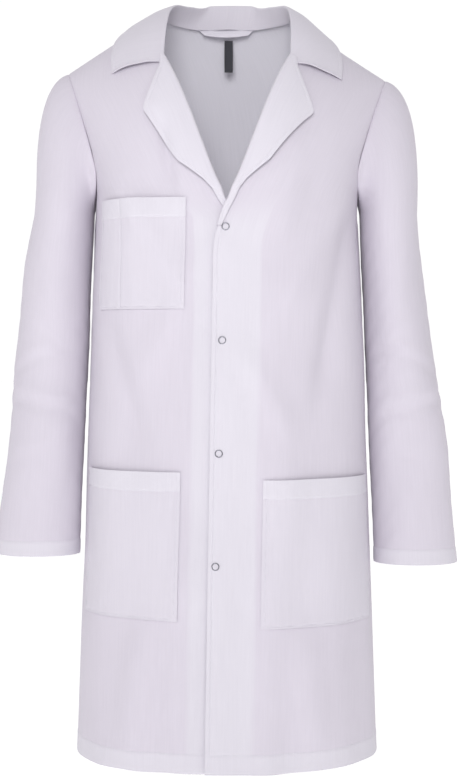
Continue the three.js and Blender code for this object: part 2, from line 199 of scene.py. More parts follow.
def folds(p, face):
    """How far the drape stands off the plain body: long waves of the skirt, soft and small ones,
    and the single creases. It fades at the side seams and above the chest."""
    x, z = p[..., 0], p[..., 2]
    skirt = 1 - smooth(z, 0.05, 0.62)
    chest = 1 - smooth(z, 0.80, 0.95)
    seed = 3 if face == FRONT else 8
    drape = waves(x, z, seed, 7, (0.055, 0.120), 0.10) * 0.0038 * (0.55 + skirt)
    soft = waves(x, z, seed + 20, 9, (0.10, 0.26), 0.9) * 0.0034
    small = waves(x, z, seed + 40, 12, (0.022, 0.060), 1.4) * 0.00034
    lines = FRONT_CREASES if face == FRONT else BACK_CREASES
    side = 1 - smooth(np.abs(x) / 0.21, 0.86, 1.0)
    return chest * side * (drape + soft + creases(x, z, lines) + small)


# ---- edges and seams -------------------------------------------------------------------------
def armhole(w):
    """The share of the half width at which the front and the back stop at the armhole."""
    return ARMHOLE_SHARE + (1 - ARMHOLE_SHARE) * np.maximum(1 - (w - 1) / UNDERARM_SPAN, 0) ** 2


def panel_edge(w):
    return np.where(w < 1, 1.0, armhole(w))


def level(z):
    """The height w of a level z below the armpits."""
    return z / CHEST_LEVEL


BREAK = 0.751                       # level at which the lapels begin to turn
EDGE_LINE = ((0.0, -0.029), (0.690, -0.0175), (0.706, -0.0155), (0.728, -0.009), (BREAK, 0.000))
UNDER_LINE = ((0.0, -0.009), (0.690, -0.021), (0.735, -0.018), (BREAK, 0.002))


def roll_share(w):
    """The roll line from the break up to the collar notch."""
    rise = np.clip((w - level(BREAK)) / (NOTCH[1] - level(BREAK)), 0, 1)
    return NOTCH[0] * rise ** 0.66


def inner_share(side, w):
    """A front's closing edge, which turns into the lapel's roll line and then the neck."""
    z = np.minimum(w, 1) * CHEST_LEVEL
    line = EDGE_LINE if side > 0 else UNDER_LINE
    edge = np.interp(z, [a for a, _ in line], [b for _, b in line]) / half_width(w)
    neck = lerp(NOTCH[0], NECK_AT_SHOULDER, smooth(w, NOTCH[1], 2))
    upper = np.where(w < NOTCH[1], roll_share(w), neck)
    return np.where(w < level(BREAK), edge, np.maximum(upper, 0.001))


def angle_of(s):
    return np.sign(s) * np.arcsin(np.minimum(np.abs(s), 1) ** (SQUARENESS / 2))


def share_of(angle):
    return np.sign(angle) * np.abs(np.sin(angle)) ** (2 / SQUARENESS)


def spread(a, b, u):
    """Between two shares, evenly by angle round the body, so that the sides get enough points."""
    return share_of(lerp(angle_of(a), angle_of(b), u))


def fine_steps(length, pitch, features=(), reach=0.006, fine=0.0012):
    """Places from 0 to length, a pitch apart, and closer together near each feature."""
    places = list(np.linspace(0, length, max(int(length / pitch), 2) + 1))
    for feature in features:
        places += list(np.arange(feature - reach, feature + reach + fine / 2, fine))
    places = sorted(p for p in places if 0 <= p <= length)
    kept = [0.0]
    for place in places[1:]:
        if place - kept[-1] > fine * 0.6:
            kept.append(place)
    kept[-1] = length
    return np.array(kept)


# ---- meshes ----------------------------------------------------------------------------------
def add_object(name, data):
    made = bpy.data.objects.new(name, data)
    bpy.context.scene.collection.objects.link(made)
    return made


def link(name, mesh, material, smooth_angle=50):
    """A smooth-shaded object from a mesh, with its sharp edges kept."""
    mesh.materials.append(material)
    mesh.polygons.foreach_set("use_smooth", [True] * len(mesh.polygons))
    mesh.set_sharp_from_angle(angle=math.radians(smooth_angle))
    return add_object(name, mesh)


def grid_faces(rows, columns, ring):
    across = columns if ring else columns - 1
    j, i = np.meshgrid(np.arange(rows - 1), np.arange(across), indexing="ij")
    right = (i + 1) % columns
    a, b = j * columns + i, j * columns + right
    c, d = (j + 1) * columns + right, (j + 1) * columns + i
    return np.stack([a, b, c, d], -1).reshape(-1, 4)


def settle(points):
    """The wearer's left shoulder hangs a little lower than the right one."""
    x, z = points[..., 0], points[..., 2]
    drop = SHOULDER_DROP * smooth(x, 0.055, 0.170) * smooth(z, 0.80, 0.97)
    return points - np.stack([0 * drop, 0 * drop, drop], -1)


def lengths(points):
    """Each grid point's run along its row and along its column, for the weave."""
    du = np.linalg.norm(np.diff(points, axis=1), axis=-1)
    dv = np.linalg.norm(np.diff(points, axis=0), axis=-1)
    run_u = np.concatenate([np.zeros((points.shape[0], 1)), np.cumsum(du, 1)], 1)
    run_v = np.concatenate([np.zeros((1, points.shape[1])), np.cumsum(dv, 0)], 0)
    return np.stack([run_u, run_v], -1)


def normals_of(points, ring):
    """The normals of a grid of points, closed along its rows when it is a ring."""
    if ring:
        along_u = np.roll(points, -1, 1) - np.roll(points, 1, 1)
    else:
        along_u = np.gradient(points, axis=1)
    return unit(np.cross(along_u, np.gradient(points, axis=0)))


def cloth(name, points, material, thickness=CLOTH, outer=0.0, inner=0.0, ring=False, flip=1,
          layers=0.0, inside=None):
    """A closed sheet of cloth around a grid of points. outer and inner add relief to each face;
    the share given for the outer face, and inside for the inner face, say how much of the
    material's second colours each face takes. On most pieces these are the colours of cloth that
    lies double; on the back they are painted light, its inner face lit as if through the cloth."""
    rows, columns = points.shape[:2]
    points = settle(points)
    normal = normals_of(points, ring) * flip
    top = points + normal * np.asarray(thickness / 2 + outer)[..., None]
    bottom = points - normal * np.asarray(thickness / 2 + inner)[..., None]
    verts = np.concatenate([top.reshape(-1, 3), bottom.reshape(-1, 3)])
    upper = grid_faces(rows, columns, ring)
    size = rows * columns
    lower = upper[:, ::-1] + size
    grid = np.arange(size).reshape(rows, columns)
    border = [grid[0], grid[-1][::-1]]
    if ring:
        border = [np.append(grid[0], grid[0][0]), np.append(grid[-1], grid[-1][0])[::-1]]
    else:
        border += [grid[:, -1], grid[::-1, 0]]
    rims = [np.stack([b[1:], b[:-1], b[:-1] + size, b[1:] + size], -1) for b in border]
    faces = np.concatenate([upper, lower] + rims)
    if flip < 0:
        faces = faces[:, ::-1]
    mesh = bpy.data.meshes.new(name)
    mesh.from_pydata(verts.tolist(), [], faces.tolist())
    run = lengths(points).reshape(-1, 2)
    run = np.concatenate([run, run])
    layer = mesh.uv_layers.new(name="cloth")
    corner = np.empty(len(mesh.loops), int)
    mesh.loops.foreach_get("vertex_index", corner)
    layer.data.foreach_set("uv", run[corner].reshape(-1).astype(np.float32))
    second_tone = np.broadcast_to(np.asarray(layers, float), (rows, columns)).reshape(-1)
    # the share of the second colours at each point; on the back's inner face this is painted light
    tint = mesh.attributes.new("layers", "FLOAT", "POINT")
    within = second_tone if inside is None else 0 * second_tone + inside
    tint.data.foreach_set("value", np.concatenate([second_tone, within]).astype(np.float32))
    mesh.validate()
    mesh.update()
    return link(name, mesh, material)


STITCH = dict(pitch=0.0030, length=0.0023, width=0.00055, height=0.00032)


def stitch_run(path, normal, lie=0.0):
    """Thread along a path: one small lozenge for each stitch."""
    path = settle(path)
    step = np.linalg.norm(np.diff(path, axis=0), axis=1)
    run = np.concatenate([[0], np.cumsum(step)])
    count = int(run[-1] / STITCH["pitch"])
    if count < 1:
        return np.zeros((0, 3)), np.zeros((0, 3), int)
    middle = (np.arange(count) + 0.5) * STITCH["pitch"]

    def at(places, values):
        return np.stack([np.interp(places, run, values[:, k]) for k in range(3)], -1)

    centre = at(middle, path)
    up = unit(at(middle, normal))
    ahead = unit(at(middle + 0.001, path) - at(middle - 0.001, path))
    aside = unit(np.cross(ahead, up))
    centre = centre + up * lie
    half, wide, high = STITCH["length"] / 2, STITCH["width"] / 2, STITCH["height"]
    corners = np.stack([
        centre - ahead * half, centre + ahead * half, centre - aside * wide,
        centre + aside * wide, centre + up * high, centre - up * high,
    ], 1).reshape(-1, 3)
    one = np.array([
        (0, 2, 4), (2, 1, 4), (1, 3, 4), (3, 0, 4), (2, 0, 5), (1, 2, 5), (3, 1, 5), (0, 3, 5),
    ])
    faces = (one[None] + 6 * np.arange(count)[:, None, None]).reshape(-1, 3)
    return corners, faces


def stitching(name, runs, material):
    """One object for all the stitches of some runs."""
    verts, faces, start = [], [], 0
    for path, normal, lie in runs:
        v, f = stitch_run(path, normal, lie)
        verts.append(v)
        faces.append(f + start)
        start += len(v)
    mesh = bpy.data.meshes.new(name)
    mesh.from_pydata(np.concatenate(verts).tolist(), [], np.concatenate(faces).tolist())
    mesh.update()
    return link(name, mesh, material, 180)


# ---- materials -------------------------------------------------------------------------------
def feed(tree, socket, value):
    """Links another node's output to a socket, or sets the socket to a number."""
    if hasattr(value, "is_linked"):
        tree.links.new(value, socket)
    else:
        socket.default_value = value


def shader(name, build):
    """A material whose nodes are made by build."""
    material = bpy.data.materials.new(name)
    material.use_nodes = True
    tree = material.node_tree
    tree.nodes.clear()
    output = tree.nodes.new("ShaderNodeOutputMaterial")
    surface = tree.nodes.new("ShaderNodeBsdfPrincipled")
    tree.links.new(surface.outputs["BSDF"], output.inputs["Surface"])

    def node(kind, settings=None, **sockets):
        made = tree.nodes.new("ShaderNode" + kind)
        for key, value in (settings or {}).items():
            setattr(made, key, value)
        for key, value in sockets.items():
            feed(tree, made.inputs[key.replace("_", " ")], value)
        return made

    build(node, surface, tree)
    return material


def maths(node, tree, operation, a, b):
    made = node("Math", {"operation": operation})
    for socket, value in zip(made.inputs, (a, b)):
        feed(tree, socket, value)
    return made.outputs[0]


def blend_colour(node, tree, factor, a, b):
    made = node("Mix", {"data_type": "RGBA"})
    tree.links.new(factor, made.inputs[0])
    made.inputs[6].default_value = (*a, 1)
    made.inputs[7].default_value = (*b, 1)
    return made.outputs[2]


def woven(name, light, dark, twill, roughness, sheen, depth, second_tone=None):
    """A twill: diagonal ribs crossed by the weft, fuzz between, and slow mottling. Where the
    cloth lies double, less of what is behind it shows through and it takes the second colours.
    In the back's material the second colours are painted light instead: its inner face lighter,
    as if lit through the cloth from behind."""
    def build(node, surface, tree):
        def scaled(value, factor):
            return maths(node, tree, "MULTIPLY", value, factor)

        def total(a, b):
            return maths(node, tree, "ADD", a, b)

        place = node("UVMap", {"uv_map": "cloth"}).outputs["UV"]
        turn = node("Mapping", Vector=place, Rotation=(0, 0, math.radians(63))).outputs[0]
        ribs = node("TexWave", {"wave_profile": "SIN"}, Vector=turn, Scale=0.314 / twill,
                    Distortion=0.6, Detail=1.0, Detail_Scale=3.0).outputs["Fac"]
        weft = node("TexWave", {"bands_direction": "Y"}, Vector=place,
                    Scale=0.314 / (twill * 0.55), Distortion=0.3).outputs["Fac"]
        fuzz = node("TexNoise", Vector=place, Scale=1.6 / twill, Detail=3.0).outputs["Fac"]
        slubs = node("Mapping", Vector=place, Scale=(520, 16, 1)).outputs[0]
        slub = node("TexNoise", Vector=slubs, Scale=1.0, Detail=2.0).outputs["Fac"]
        body_place = node("TexCoord").outputs["Object"]
        mottle = node("TexNoise", Vector=body_place, Scale=9.0, Detail=4.0).outputs["Fac"]
        thread = maths(node, tree, "MULTIPLY_ADD", ribs, 0.55)
        tree.links.new(scaled(weft, 0.25), thread.node.inputs[2])
        height = total(total(thread, scaled(fuzz, 0.25)), scaled(slub, 0.15))
        tone = total(total(scaled(height, 0.40), scaled(mottle, 0.35)), scaled(slub, 0.35))
        colour = blend_colour(node, tree, tone, dark, light)
        # the second colours: those of cloth lying double, and in the back's material painted light
        # for its inner face
        if second_tone:
            full = blend_colour(node, tree, tone, *second_tone)
            share = node("Attribute", {"attribute_name": "layers"}).outputs["Fac"]
            mix = node("Mix", {"data_type": "RGBA"})
            for socket, value in zip((0, 6, 7), (share, colour, full)):
                tree.links.new(value, mix.inputs[socket])
            colour = mix.outputs[2]
        tree.links.new(colour, surface.inputs["Base Color"])
        rough = maths(node, tree, "SUBTRACT", roughness, scaled(height, 0.1))
        tree.links.new(rough, surface.inputs["Roughness"])
        bump = node("Bump", Strength=0.35, Distance=depth, Height=height)
        tree.links.new(bump.outputs[0], surface.inputs["Normal"])
        surface.inputs["Sheen Weight"].default_value = sheen
        surface.inputs["Sheen Roughness"].default_value = 0.6
        surface.inputs["Specular IOR Level"].default_value = 0.25
    return shader(name, build)


def nickel(name, light, dark):
    """Plated metal: fine turning marks and smudges."""
    def build(node, surface, tree):
        place = node("TexCoord").outputs["Object"]
        smudge = node("TexNoise", Vector=place, Scale=420.0, Detail=4.0).outputs["Fac"]
        marks = node("TexNoise", Vector=place, Scale=3800.0, Detail=2.0).outputs["Fac"]
        tree.links.new(blend_colour(node, tree, smudge, dark, light), surface.inputs["Base Color"])
        rough = maths(node, tree, "MULTIPLY_ADD", smudge, 0.22)
        rough.node.inputs[2].default_value = 0.14
        tree.links.new(rough, surface.inputs["Roughness"])
        bump = node("Bump", Strength=0.15, Distance=0.00004, Height=marks)
        tree.links.new(bump.outputs[0], surface.inputs["Normal"])
        surface.inputs["Metallic"].default_value = 1.0
    return shader(name, build)


SINGLE = ((0.670, 0.628, 0.706), (0.545, 0.508, 0.578))        # light, dark
DOUBLED = ((0.590, 0.563, 0.630), (0.705, 0.680, 0.742))       # dark, light
# painted light: the back's inner face is coloured lighter, as if lit through the cloth from behind
LIT_THROUGH = ((0.730, 0.715, 0.775), (0.880, 0.862, 0.930))   # the inside of the back
WEAVE = dict(twill=0.0007, roughness=0.92, sheen=0.10, depth=0.00012)
twill = woven("white_twill", *SINGLE, **WEAVE, second_tone=DOUBLED)
# the back's second colours are painted light for its inner face
back_twill = woven("white_twill_back", *SINGLE, **WEAVE, second_tone=LIT_THROUGH)
tape = woven("white_tape", (0.78, 0.75, 0.82), (0.66, 0.63, 0.71),
             twill=0.0009, roughness=0.85, sheen=0.10, depth=0.00016)
thread = woven("white_thread", (0.80, 0.78, 0.84), (0.66, 0.64, 0.71),
               twill=0.0004, roughness=0.70, sheen=0.10, depth=0.00006)
tag_weave = woven("dark_tag", (0.060, 0.060, 0.072), (0.028, 0.028, 0.036),
                  twill=0.0006, roughness=0.80, sheen=0.20, depth=0.00010)
plate = nickel("snap_nickel", (0.34, 0.34, 0.37), (0.17, 0.17, 0.20))


# ---- the coat's panels -----------------------------------------------------------------------
def groove(distance, breadth=0.0011, depth=0.00045):
    """The dimple that a row of stitches pulls into the cloth."""
    return -depth * np.exp(-(np.asarray(distance) / breadth) ** 2)


def band(distance, width, rise=0.0005):
    """A turned-up hem: thicker from the edge to its stitch line, with the line's groove."""
    return rise * (1 - smooth(distance, width - 0.0006, width + 0.0010)) + groove(distance - width)


def turned_up(distance, width):
    """1 where an edge's cloth lies double, from the edge to the width of its hem."""
    return 1 - smooth(distance, width - 0.001, width + 0.001)


def pucker(run, distance, wave=0.010, reach=0.007, height=0.00028):
    """Small ripples that a tight seam draws into the cloth beside it."""
    return height * np.sin(2 * math.pi * run / wave + 1.5 * np.sin(run * 61)) * np.exp(
        -(np.asarray(distance) / reach) ** 2)


def seam_dip(distance, breadth=0.0014, depth=0.0006):
    """The sharp valley along a seam."""
    return -depth * np.exp(-(np.abs(distance) / breadth) ** 1.5)


ROWS = np.concatenate([
    fine_steps(CHEST_LEVEL, 0.0075, (0.0, HEM_BAND), reach=0.004, fine=0.0013) / CHEST_LEVEL,
    1 + fine_steps(1.0, 0.0150, (), fine=0.002)[1:],
])


def rows_to(low, high, features=(), pitch=0.0075):
    """Heights w between two, about a pitch apart on the body."""
    return low + fine_steps((high - low) * CHEST_LEVEL, pitch,
                            [(f - low) * CHEST_LEVEL for f in features]) / CHEST_LEVEL


def overlap_lift(side, x):
    """The left front lies over the right one beside the closing edge."""
    if side < 0:
        return np.zeros_like(x)
    return OVERLAP_LIE * (1 - smooth(x, *OVERLAP_FADE))


def front_at(side, s, w, lift=0.0):
    s, w = paired(s, w)
    return body(side * s, w, FRONT, lift + overlap_lift(side, s * half_width(w)))


def front_stitch(side, s, w, lift=0.0):
    """A stitch path on a front, laid on its outer face."""
    path = front_at(side, s, w, lift + CLOTH / 2)
    s, w = paired(s, w)
    return path, body_normal(side * s, w, FRONT), STITCH_SINK


EDGE_STITCH = 0.0055                # from an edge to its row of stitches
SEAM_STITCH = 0.0045                # from an armhole seam to its row of stitches
STITCH_SINK = -0.00012              # a stitch lies this deep in the cloth
HEM_TONE = 0.8                      # a hem's share of the doubled colours
LAPEL_TONE, COLLAR_TONE = 0.8, 0.6
BACK_HEM_TONE = 0.17                # and the back's, whose second colours are the lit inside's
HEM_ROWS = 0.3                      # the hem's relief is cut off above this height w
PANEL_GAP = 1e-6                    # a front or the back stops this share short of the side
ARMHOLE_RUN = np.linspace(1.02, 1.985, 90)     # the heights w of a row of stitches


def front_outer(w):
    return panel_edge(w) - PANEL_GAP


def front_columns(side, w):
    """Shares of one front's grid, fine beside the closing edge and even beyond it."""
    near = np.array([0, .0011, .0030, .0046, .0055, .0064, .0080, .0120, .0180, .0250, .0330])
    inner = inner_share(side, w)
    wide = half_width(w)[:, None]
    start = inner[:, None] + near[None] / wide
    room = (front_outer(w) - inner)[:, None]
    start = np.minimum(start, inner[:, None] + room * np.linspace(0, 0.4, len(near))[None])
    steps = np.concatenate([np.linspace(0, 0.965, 74)[1:], [0.975, 0.984, 0.990, 0.995, 0.998, 1]])
    onward = spread(start[:, -1:], front_outer(w)[:, None], steps[None])
    return np.concatenate([start, onward], 1)


def front_cloth(word, side):
    """A front, from its closing edge and roll line to the side seam and the armhole."""
    w = ROWS
    s = front_columns(side, w)
    rows = np.broadcast_to(w[:, None], s.shape)
    points = front_at(side, s, rows)
    from_edge = (s - inner_share(side, w)[:, None]) * half_width(rows)
    z = np.minimum(rows, 1) * CHEST_LEVEL
    below = 1 - smooth(rows, level(BREAK) - 0.05, level(BREAK) + 0.02)
    relief = band(z, HEM_BAND) * (rows < HEM_ROWS)
    relief = relief + groove(from_edge - EDGE_STITCH) * below
    relief = relief + pucker(z, from_edge - EDGE_STITCH, 0.026) * below
    relief = relief + pucker(s * half_width(rows), z - HEM_BAND, 0.013) * (rows < HEM_ROWS)
    relief = relief + seam_dip((front_outer(rows) - s) * half_width(rows)) * (rows > 0.96)
    width = FACING_WIDTH * (1 - 0.4 * smooth(rows, level(BREAK), NOTCH[1]))
    second_tone = 0.9 * (1 - smooth(from_edge, width - 0.002, width + 0.002)) * below
    second_tone = np.maximum(second_tone, HEM_TONE * turned_up(z, HEM_BAND))
    piece = cloth(f"{word}_front_cloth", points, twill, outer=relief, flip=side, layers=second_tone)
    edge = rows_to(level(EDGE_STITCH), level(BREAK))
    inner = inner_share(side, edge) + EDGE_STITCH / half_width(edge)
    across = np.linspace(inner_share(side, np.zeros(1))[0] + 0.02, 0.995, 220)
    runs = [front_stitch(side, inner, edge), front_stitch(side, across, level(HEM_BAND))]
    back_off = SEAM_STITCH / half_width(ARMHOLE_RUN)
    runs.append(front_stitch(side, front_outer(ARMHOLE_RUN) - back_off, ARMHOLE_RUN))
    return piece, runs


def back_cloth():
    """The back in one piece, with the valley of its centre-back seam."""
    w = ROWS
    half = np.concatenate([[0, .0008, .0016, .003], np.linspace(0.006, 0.1, 9)])
    inner = half[None] / half_width(w)[:, None]
    steps = np.concatenate([np.linspace(0, 0.97, 60)[1:], [0.98, 0.988, 0.994, 0.998, 1]])
    outer = spread(inner[:, -1:], (panel_edge(w) - PANEL_GAP)[:, None], steps[None])
    right = np.concatenate([inner, outer], 1)
    s = np.concatenate([-right[:, :0:-1], right], 1)
    rows = np.broadcast_to(w[:, None], s.shape)
    neck = 1.688 + 0.312 * np.clip(np.abs(s) / 0.385, 0, 1) ** 3.6
    height = np.where(rows > 1, 1 + (rows - 1) * (1 - (2 - neck) * (rows - 1)), rows)
    points = body(s, height, BACK)
    z = np.minimum(rows, 1) * CHEST_LEVEL
    x = s * half_width(rows)
    relief = band(z, HEM_BAND) * (rows < HEM_ROWS)
    relief = relief + seam_dip(x) + groove(np.abs(x) - EDGE_STITCH, depth=0.0003)
    relief = relief + seam_dip((panel_edge(rows) - np.abs(s)) * half_width(rows)) * (rows > 0.96)
    second_tone = BACK_HEM_TONE * turned_up(z, HEM_BAND)
    # inside=1: the back's whole inner face takes the painted light of its inside
    piece = cloth("back_cloth", points, back_twill, outer=relief, flip=-1, layers=second_tone, inside=1)
    up = rows_to(level(0.004), 1.68)

    def on_back(s_, w_):
        s_, w_ = paired(s_, w_)
        return body(s_, w_, BACK, CLOTH / 2), body_normal(s_, w_, BACK), STITCH_SINK

    across = np.linspace(-0.995, 0.995, 440)
    runs = [on_back(-EDGE_STITCH / half_width(up), up), on_back(across, level(HEM_BAND))]
    armhole_line = panel_edge(ARMHOLE_RUN) - SEAM_STITCH / half_width(ARMHOLE_RUN)
    for side in (-1, 1):
        runs.append(on_back(side * armhole_line, ARMHOLE_RUN))
    return piece, runs


# the lapel's edge: the height w, and the share of the half width that it reaches
LAPEL_OUTER = (
    (0.935, -0.040), (0.960, 0.008), (0.980, 0.050), (1.025, 0.130), (1.085, 0.282),
    (1.180, 0.414), (1.262, 0.526), (1.276, 0.546), (1.288, 0.556), (1.300, 0.557),
    (1.325, 0.541), (1.385, 0.490), (1.460, 0.434), (1.500, 0.424),
)
# the right lapel's corner is less far out, and below it the lapel's edge curves out further
LAPEL_TRIM = {1: 0.0, -1: 0.022}
LAPEL_FULLNESS = {1: 0.010, -1: 0.058}


def lapel_reach(side, w):
    """How far the turned lapel comes across the front, as a share of the half width."""
    reach = np.interp(w, [a for a, _ in LAPEL_OUTER], [b for _, b in LAPEL_OUTER])
    full = np.sin(math.pi * np.clip((w - 0.97) / 0.31, 0, 1))
    return reach - LAPEL_TRIM[side] * smooth(w, 1.05, 1.25) + LAPEL_FULLNESS[side] * full


def lapel_cloth(word, side):
    """A lapel: round the fold at the roll line, then flat on the front to its edge."""
    low, high = 0.936, NOTCH[1]
    w = np.concatenate([np.linspace(low, 1.02, 40), np.linspace(1.02, high, 80)[1:]])
    turn = np.linspace(0.10, 1, 9) * math.pi
    radius = ROLL * smooth(w, low - 0.02, level(BREAK) + 0.05) + 0.0007
    flat = np.concatenate([np.linspace(0, 1, 34)[1:-1] * 0.93, [0.95, 0.965, 0.98, 0.99, 1.0]])
    fold = inner_share(side, w)
    wide = half_width(w)[:, None]
    s_turn = fold[:, None] - radius[:, None] * np.sin(turn)[None] / wide
    lift_turn = radius[:, None] * (1 - np.cos(turn))[None]
    outer = np.maximum(lapel_reach(side, w), fold + 0.002)[:, None]
    s_flat = lerp(fold[:, None], outer, flat[None])
    across = flat[None] * (outer - fold[:, None]) * wide
    swell = 0.0030 * np.sin(np.clip(across / 0.07, 0, 1) * math.pi)
    rest = 2 * radius[:, None] * (1 - 0.35 * flat[None] ** 2)
    s = np.concatenate([s_turn, s_flat], 1)
    lift = np.concatenate([lift_turn, rest + swell * smooth(w, low, 1.05)[:, None]], 1)
    rows = np.broadcast_to(w[:, None], s.shape)
    points = front_at(side, s, rows, lift + 0.0004)
    to_edge = (outer - s) * wide
    relief = 0.0004 * (1 - smooth(to_edge, 0.004, 0.010)) + groove(to_edge - EDGE_STITCH)
    piece = cloth(f"{word}_lapel_cloth", points, twill, outer=relief, flip=side,
                  layers=LAPEL_TONE)
    run_w = np.linspace(1.01, high - 0.01, 160)
    s_line = np.maximum(lapel_reach(side, run_w), inner_share(side, run_w) + 0.002)
    s_line = s_line - EDGE_STITCH / half_width(run_w)
    place = np.interp(run_w, w, np.arange(len(w)))
    index = np.clip(np.round(place).astype(int), 0, len(w) - 1)
    column = [int(np.argmin(np.abs(s[i] - v))) if s[i, -1] > v else -2
              for i, v in zip(index, s_line)]
    lift_line = np.array([lift[i, c] for i, c in zip(index, column)]) + 0.0004
    path = front_at(side, s_line, run_w, lift_line + CLOTH / 2)
    return piece, [(path, body_normal(side * s_line, run_w, FRONT), 0.0)]


def facing_cloth(word, side):
    """The strip that lines a front beside its closing edge."""
    w = np.concatenate([rows_to(0.012, 1.0), np.linspace(1.0, NOTCH[1] - 0.08, 50)[1:]])
    inner = inner_share(side, w) + 0.002
    width = FACING_WIDTH / half_width(w) * (1 - 0.4 * smooth(w, level(BREAK), NOTCH[1]))
    u = np.concatenate([[0, 0.02, 0.05], np.linspace(0.09, 0.9, 16), [0.94, 0.97, 1]])
    s = inner[:, None] + width[:, None] * u[None]
    rows = np.broadcast_to(w[:, None], s.shape)
    points = front_at(side, s, rows, FACING_LIE)
    return cloth(f"{word}_facing_cloth", points, twill, flip=side)


# ---- patch pockets ---------------------------------------------------------------------------
POCKET_LIE = 0.0019
POCKET_BAND = 0.025
POCKET_EDGE = 0.0030


def pocket_cloth(name, side, inner_at, outer_at, low, high, swell, slot=None):
    """A patch pocket: near the front along its seams, standing off a little at its mouth."""
    z = fine_steps(high - low, 0.0062, (POCKET_EDGE, high - low - POCKET_BAND), reach=0.003)
    w = level(low + z)
    inner, outer = inner_at(w), outer_at(w)
    columns = [POCKET_EDGE] + ([slot] if slot else [])
    wide = float(np.mean((outer - inner) * half_width(w)))
    u = fine_steps(wide, 0.0034, columns + [wide - POCKET_EDGE], reach=0.003) / wide
    s = spread(inner[:, None], outer[:, None], u[None])
    rows = np.broadcast_to(w[:, None], s.shape)

    def stand_off(across, up):
        belly = np.sin(math.pi * np.clip(across, 0, 1)) ** 0.8
        if slot:
            belly = belly * (1 - 0.6 * np.exp(-((across * wide - slot) / 0.012) ** 2))
        return swell * belly * (0.35 * np.sin(math.pi / 2 * up) + 0.65 * smooth(up, 0.45, 1.0))

    bulge = stand_off(u[None], (z / (high - low))[:, None])
    points = front_at(side, s, rows, POCKET_LIE + bulge)
    x_in, x_out = u[None] * wide, (1 - u[None]) * wide
    from_top, from_base = (high - low) - z[:, None], z[:, None]
    relief = band(from_top, POCKET_BAND, 0.0006)
    for distance, run in ((x_in, z[:, None]), (x_out, z[:, None]), (from_base, x_in)):
        relief = relief + groove(distance - POCKET_EDGE, 0.0010, 0.0005)
        relief = relief + pucker(run, distance - POCKET_EDGE, 0.017, height=0.0004)
    relief = relief + pucker(x_in, from_top - POCKET_BAND, 0.013)
    if slot:
        relief = relief + groove(x_in - slot, 0.0012, 0.0007)
    second_tone = lerp(0.45, 0.9, turned_up(from_top + 0 * x_in, POCKET_BAND))
    piece = cloth(name, points, twill, outer=relief, flip=side, layers=second_tone)
    base = POCKET_LIE + CLOTH / 2

    def on_pocket(u_, v_):
        u_, v_ = paired(u_, v_)
        w_ = level(lerp(low, high, v_))
        s_ = spread(inner_at(w_), outer_at(w_), u_)
        path = front_at(side, s_, w_, base + stand_off(u_, v_))
        return path, body_normal(side * s_, w_, FRONT), -0.0002

    span = high - low
    along = np.linspace(0, 1, 150)
    edge_u, edge_v = POCKET_EDGE / wide, POCKET_EDGE / span
    runs = [
        on_pocket(edge_u, lerp(edge_v, 0.995, along)),
        on_pocket(1 - edge_u, lerp(edge_v, 0.995, along)),
        on_pocket(lerp(edge_u, 1 - edge_u, along), edge_v),
        on_pocket(lerp(0.004, 0.996, along), 1 - POCKET_BAND / span),
    ]
    if slot:
        runs.append(on_pocket(slot / wide, lerp(edge_v, 0.995, along)))
    return piece, runs


# ---- collar ----------------------------------------------------------------------------------
# one half of the neck seam and of the collar's edge: share, height w, and front or back
NECK_HALF = (
    (0, 1.7, 1), (0.2, 1.74, 1), (0.34, 1.87, 1), (0.385, 1.985, 1), (0.395, 1.86, -1),
    (0.402, 1.66, -1), (0.408, 1.465, -1),
)
EDGE_HALF = (
    (0, 1.46, 1), (0.28, 1.5, 1), (0.48, 1.66, 1), (0.60, 1.985, 1), (0.655, 1.85, -1),
    (0.692, 1.69, -1), (0.706, 1.545, -1),
)
COLLAR_STAND = 0.028
COLLAR_LIE = 0.0052                 # how far the fall stands off the shoulders
COLLAR_ASIDE = 0.0075               # the collar's top lies a little to the wearer's left


def place_on(curve, share):
    """A smooth curve through points, evaluated the way a centripetal Catmull-Rom spline is."""
    points = np.array([plain_body(np.float64(s), np.float64(w), face) for s, w, face in curve])
    ends = np.concatenate([[2 * points[0] - points[1]], points, [2 * points[-1] - points[-2]]])
    count = len(points) - 1
    run = np.clip(share, 0, 1) * count
    piece = np.minimum(run.astype(int), count - 1)
    t = (run - piece)[..., None]
    p0, p1, p2, p3 = (ends[piece + k] for k in range(4))

    def gap(a, b):
        return np.maximum(np.linalg.norm(b - a, axis=-1, keepdims=True), 1e-9) ** 0.5

    d0, d1, d2 = gap(p0, p1), gap(p1, p2), gap(p2, p3)
    t1 = ((p1 - p0) / d0 - (p2 - p0) / (d0 + d1) + (p2 - p1) / d1) * d1
    t2 = ((p2 - p1) / d1 - (p3 - p1) / (d1 + d2) + (p3 - p2) / d2) * d1
    return (p1 + t1 * t + (-3 * p1 + 3 * p2 - 2 * t1 - t2) * t ** 2
            + (2 * p1 - 2 * p2 + t1 + t2) * t ** 3)


def shoulder_normal(point):
    """The direction off the shoulders, away from a point inside the chest."""
    away = point - np.array([0, 0.005, CHEST_LEVEL + 0.040])
    away[..., 0] = away[..., 0] * 0.35
    return unit(away)


def soften(points, passes, rows):
    """Rounds a fold: each pass moves a row half way to the middle of its neighbours."""
    for _ in range(passes):
        middle = (points[:-2] + points[2:]) / 2
        weight = 0.5 * rows[1:-1, None, None]
        points[1:-1] = points[1:-1] * (1 - weight) + middle * weight
    return points


def collar_grid():
    """u runs along the collar from end to end, v from the neck seam over the fold to the edge."""
    u = np.concatenate([
        [0, .002, .004, .008, .012, .016, .022, .03],
        np.linspace(0.04, 0.96, 150),
        [.97, .978, .984, .988, .992, .996, .998, 1],
    ])
    v = np.concatenate([np.linspace(0, 0.3, 16), np.linspace(0.3, 0.94, 46)[1:],
                        [.955, .968, .978, .985, .991, .996, 1]])
    return u, v


